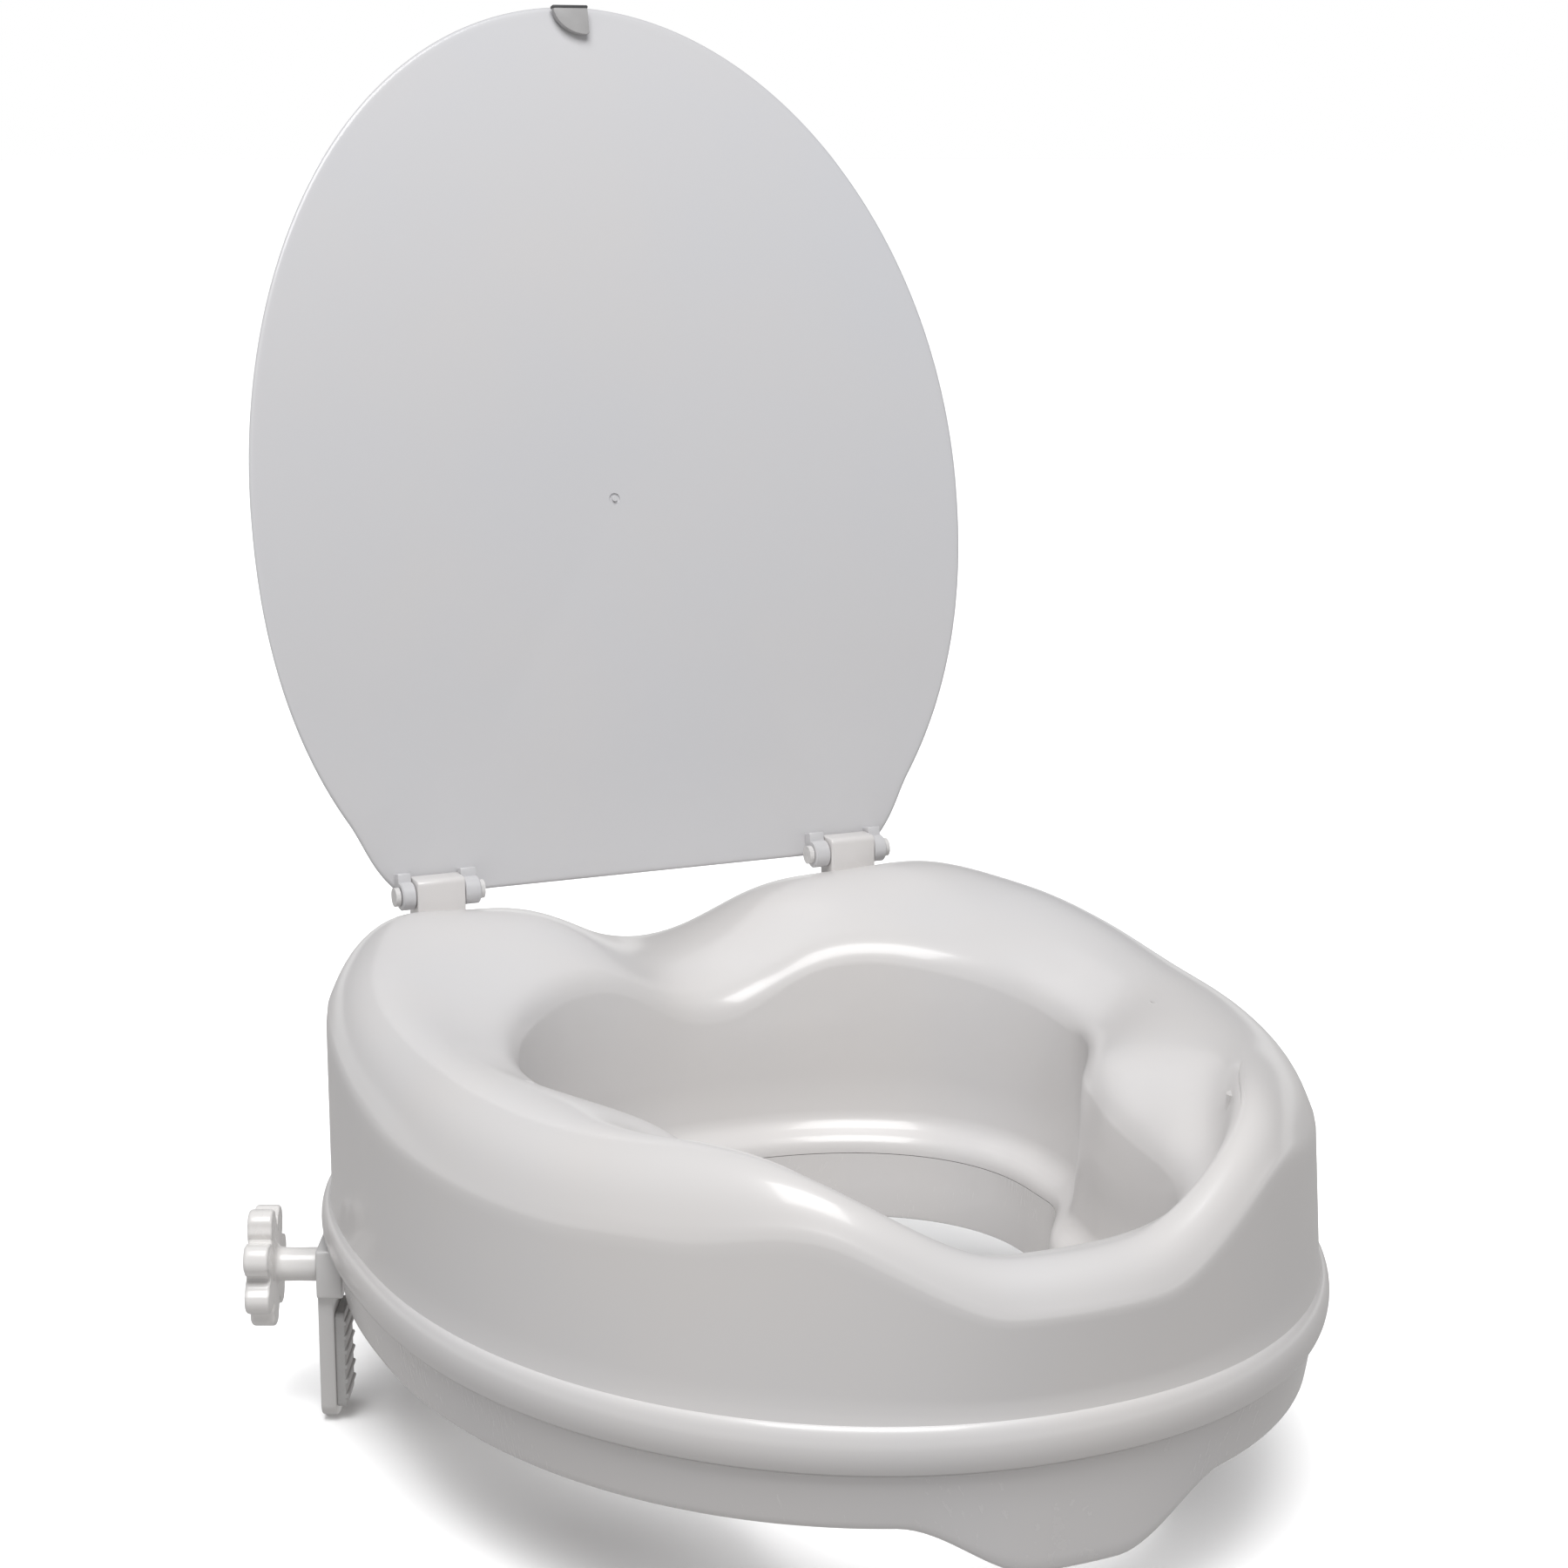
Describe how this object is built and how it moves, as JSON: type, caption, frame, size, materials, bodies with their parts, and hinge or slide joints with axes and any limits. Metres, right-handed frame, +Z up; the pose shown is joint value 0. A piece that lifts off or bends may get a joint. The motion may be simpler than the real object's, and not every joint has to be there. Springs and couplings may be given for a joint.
{
  "type": "raised toilet seat",
  "caption": "Raised toilet seat with a contoured ring, front and rear scoops, a hinged lid and screw clamps that grip the bowl from both sides.",
  "frame": {"origin": "plan centre of the seat on the underside plane of the base ring, where it sits over the bowl rim", "axes": "+X right, +Y back towards the hinge, +Z up"},
  "size_m": [0.435, 0.5079, 0.5792],
  "materials": {
    "shell_white": "gloss",
    "base_white": "gloss",
    "screw_steel": "satin",
    "pad_rubber": "matte",
    "lid_white": "gloss",
    "tab_grey": "satin",
    "pin_steel": "polished",
    "cap_white": "gloss",
    "bracket_white": "gloss",
    "stud_steel": "satin",
    "knob_white": "gloss",
    "knob_cap": "gloss",
    "washer_steel": "satin",
    "clip_steel": "satin",
    "nut_steel": "satin"
  },
  "bodies": {
    "seat": {"seat_shell": "shell_white", "base_ring": "base_white", "base_screws": "screw_steel", "rim_pads": "pad_rubber", "hinge_pin_left": "pin_steel", "hinge_pin_right": "pin_steel", "hinge_pin_caps": "cap_white", "clamp_nut_left": "nut_steel", "clamp_nut_right": "nut_steel"},
    "lid": {"lid": "lid_white", "lid_lift_tab": "tab_grey"},
    "bracket_left": {"clamp_bracket_left": "bracket_white", "clamp_pad_left": "pad_rubber", "thrust_washer_left": "washer_steel"},
    "bracket_right": {"clamp_bracket_right": "bracket_white", "clamp_pad_right": "pad_rubber", "thrust_washer_right": "washer_steel"},
    "knob_left": {"clamp_knob_left": "knob_white", "knob_cap_left": "knob_cap", "clamp_stud_left": "stud_steel", "stud_clip_left": "clip_steel"},
    "knob_right": {"clamp_knob_right": "knob_white", "knob_cap_right": "knob_cap", "clamp_stud_right": "stud_steel", "stud_clip_right": "clip_steel"}
  },
  "joints": [
    {"name": "lid_hinge", "type": "hinge", "parent": "seat", "child": "lid", "pos_m": [0, 0.182, 0.1393], "axis": [1, 0, 0], "range_deg": [0, 101.2]},
    {"name": "clamp_left_slide", "type": "slide", "parent": "seat", "child": "bracket_left", "axis": [0.9135, -0.4067, 0], "range_m": [0, 0.01602]},
    {"name": "clamp_right_slide", "type": "slide", "parent": "seat", "child": "bracket_right", "axis": [-0.9135, -0.4067, 0], "range_m": [0, 0.01602]},
    {"name": "knob_left_turn", "type": "hinge", "parent": "bracket_left", "child": "knob_left", "pos_m": [-0.1775, 0.0913, 0.0095], "axis": [0.9135, -0.4067, 0], "range_deg": [0, 4608]},
    {"name": "knob_right_turn", "type": "hinge", "parent": "bracket_right", "child": "knob_right", "pos_m": [0.1775, 0.0913, 0.0095], "axis": [-0.9135, -0.4067, 0], "range_deg": [0, 4608]}
  ],
  "couplings": [
    {"joint": "clamp_left_slide", "follows": "knob_left_turn", "m_per_rad": 0.00019894},
    {"joint": "clamp_right_slide", "follows": "knob_right_turn", "m_per_rad": 0.00019894}
  ]
}
